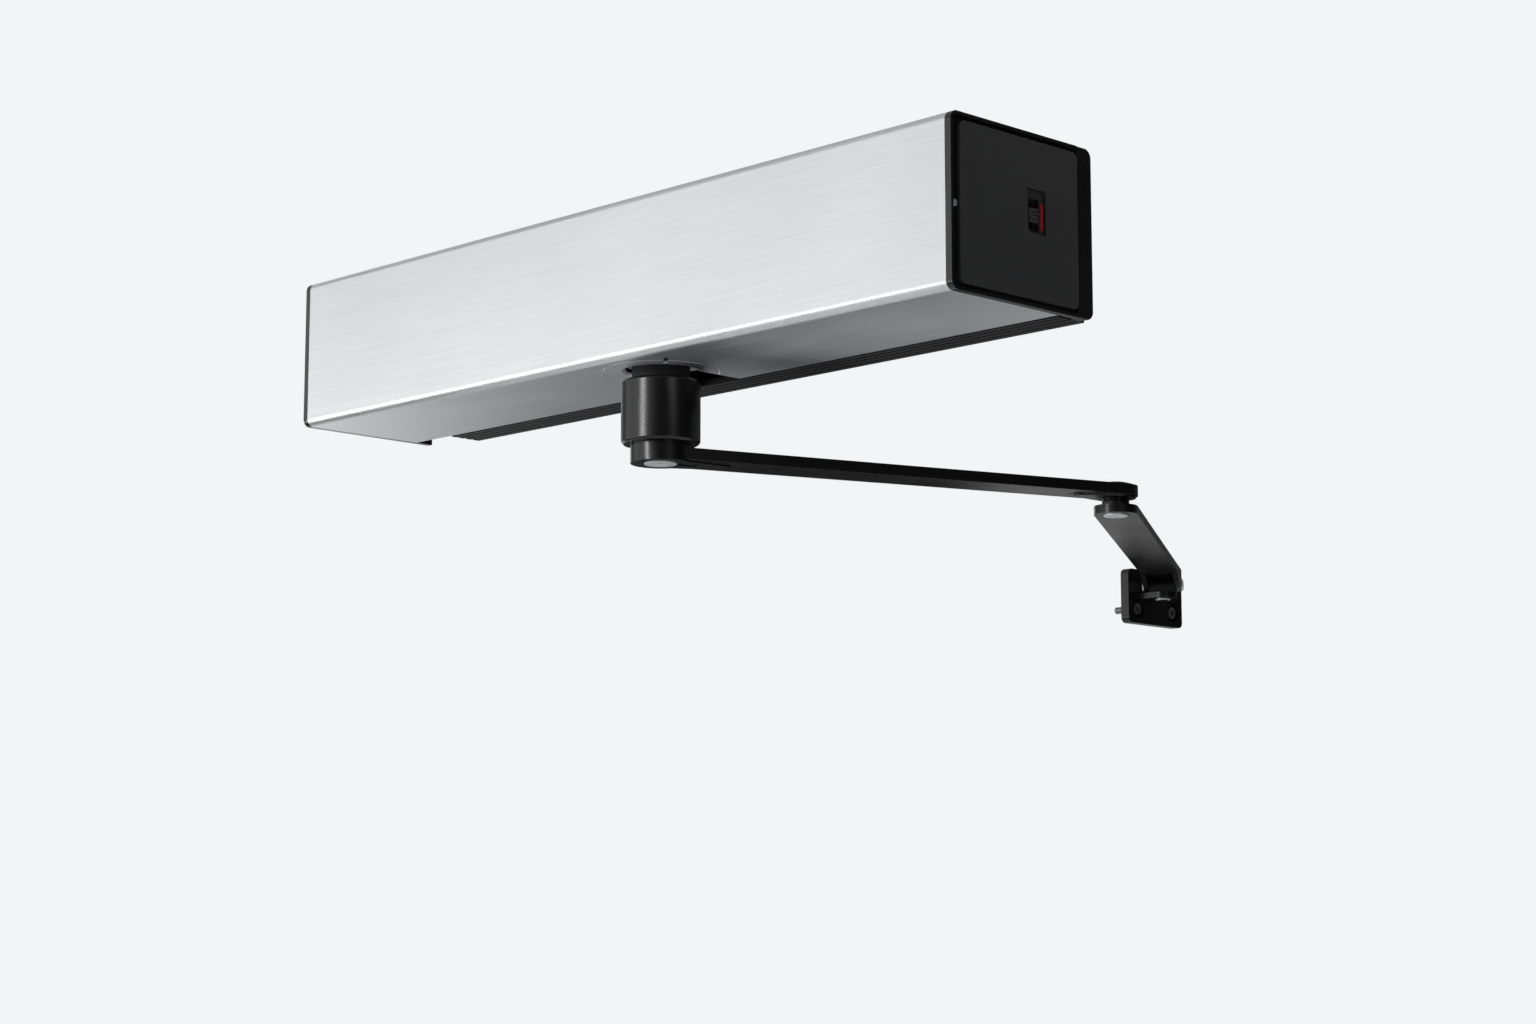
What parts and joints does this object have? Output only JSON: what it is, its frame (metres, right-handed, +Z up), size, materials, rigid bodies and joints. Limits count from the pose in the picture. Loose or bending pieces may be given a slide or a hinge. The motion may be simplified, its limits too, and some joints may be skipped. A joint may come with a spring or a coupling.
{
  "type": "door closer",
  "caption": "Surface-mounted powered door closer with a brushed box cover, black end caps and a folding two-bar arm that swings a shoe for the door leaf.",
  "frame": {"origin": "centre of the four-hole wall fixing pattern, on the rear face of the base", "axes": "+X along the box to its right end, seen from the front; +Y into the wall; +Z up"},
  "size_m": [0.678, 0.7818, 0.2315],
  "materials": {
    "brushed_cover": "fine horizontal brushing, clear coated",
    "gloss_black_cap": "moulded, semi gloss",
    "charcoal_panel": "fine moulded texture, satin",
    "black_base": "black anodised extrusion",
    "black_arm": "satin black powder coat",
    "bright_screw": "bright zinc plated",
    "dark_screw": "black oxide",
    "cast_housing": "die cast, bead blasted",
    "drawn_tube": "drawn, satin",
    "machined_steel": "ground steel, oiled",
    "sintered_gear": "sintered, yellow passivated",
    "spring_steel": "oil hardened, dark",
    "motor_shell": "dark grey paint",
    "magnet_grey": "ferrite",
    "copper_armature": "lacquered copper and laminated iron",
    "black_plastic": "moulded, matte",
    "knob_plastic": "moulded, satin",
    "red_lamp": "clear red",
    "rubber_black": "matte",
    "bush_bronze": "sintered bronze",
    "board_green": "solder mask over glass fibre",
    "board_black": "moulded components",
    "terminal_green": "moulded",
    "zinc_sheet": "zinc coated sheet",
    "iron_core": "laminated, varnished",
    "cream_plastic": "moulded",
    "cable_black": "braided sleeve"
  },
  "bodies": {
    "base": {"base_frame": "black_base", "base_end_right": "gloss_black_cap", "base_end_left": "gloss_black_cap", "gear_tray": "cast_housing", "mid_plate": "cast_housing", "gearbox_screws": "bright_screw", "standoffs": "cast_housing", "upper_housing": "cast_housing", "lower_bearing": "machined_steel", "upper_bearing": "machined_steel", "seal_collar": "rubber_black", "idler_axle": "bright_screw", "motor_case": "motor_shell", "motor_end_bell": "cast_housing", "motor_magnets": "magnet_grey", "encoder_cap": "black_plastic", "closing_spring": "spring_steel", "spring_flange": "cast_housing", "spring_tube": "drawn_tube", "spring_seat": "drawn_tube", "tube_end_plug": "cast_housing", "tension_screw": "bright_screw", "control_case": "black_plastic", "control_board": "board_green", "board_parts": "board_black", "terminal_strip": "terminal_green", "power_supply_case": "zinc_sheet", "transformer": "iron_core", "mains_terminal": "cream_plastic", "wiring_loom": "cable_black", "cable_grommet": "rubber_black"},
    "cover": {"cover": "brushed_cover", "end_cap_right": "gloss_black_cap", "end_cap_left": "gloss_black_cap", "end_panel_right": "charcoal_panel", "end_panel_left": "charcoal_panel", "cap_screws": "bright_screw", "selector_housing": "black_plastic", "status_lamp": "red_lamp"},
    "selector_knob": {"selector_knob": "knob_plastic"},
    "spindle": {"spindle": "machined_steel", "main_gear": "sintered_gear", "spindle_pinion": "machined_steel", "spindle_sleeve": "black_arm", "main_arm": "black_arm", "arm_screw": "bright_screw", "elbow_pin": "black_arm", "elbow_screw": "bright_screw"},
    "idler": {"idler_gear": "sintered_gear"},
    "rotor": {"motor_rotor": "copper_armature", "motor_pinion": "machined_steel"},
    "rack": {"rack_plunger": "machined_steel"},
    "forearm": {"forearm": "black_arm", "elbow_bush": "bush_bronze", "cross_pin": "bright_screw"},
    "knuckle": {"swivel_block": "black_arm", "stem_clip": "bright_screw"},
    "shoe": {"door_shoe": "black_arm", "shoe_screws": "dark_screw"}
  },
  "joints": [
    {"name": "spindle_turn", "type": "hinge", "parent": "base", "child": "spindle", "pos_m": [0.018, -0.086, 0], "axis": [0, 0, 1], "range_deg": [-122, 12]},
    {"name": "idler_spin", "type": "hinge", "parent": "base", "child": "idler", "pos_m": [-0.03, -0.086, 0], "axis": [0, 0, 1], "range_deg": [-40, 370]},
    {"name": "motor_spin", "type": "hinge", "parent": "base", "child": "rotor", "pos_m": [-0.069, -0.086, 0], "axis": [0, 0, 1], "range_deg": [-1225, 125]},
    {"name": "rack_slide", "type": "slide", "parent": "base", "child": "rack", "axis": [1, 0, 0], "range_m": [-0.0342, 0.0035], "deforming": ["closing_spring"]},
    {"name": "elbow_swing", "type": "hinge", "parent": "spindle", "child": "forearm", "pos_m": [0.13989, 0.268, -0.1283], "axis": [0, 0, 1], "range_deg": [-45, 95]},
    {"name": "knuckle_tilt", "type": "hinge", "parent": "forearm", "child": "knuckle", "pos_m": [-0.06864, 0.59283, -0.1418], "axis": [-0.8415, -0.5402, 0], "range_deg": [-5, 5]},
    {"name": "shoe_swivel", "type": "hinge", "parent": "knuckle", "child": "shoe", "pos_m": [-0.06864, 0.59283, -0.1418], "axis": [0, 0, 1], "range_deg": [-50, 30]},
    {"name": "cover_pull", "type": "slide", "parent": "base", "child": "cover", "axis": [0, -1, 0], "range_m": [0, 0.15]},
    {"name": "selector_slide", "type": "slide", "parent": "cover", "child": "selector_knob", "axis": [0, 0, 1], "range_m": [-0.0055, 0.0055]}
  ],
  "couplings": [
    {"joint": "idler_spin", "follows": "spindle_turn", "ratio": -3},
    {"joint": "motor_spin", "follows": "spindle_turn", "ratio": 10},
    {"joint": "rack_slide", "follows": "spindle_turn", "m_per_rad": 0.016}
  ]
}
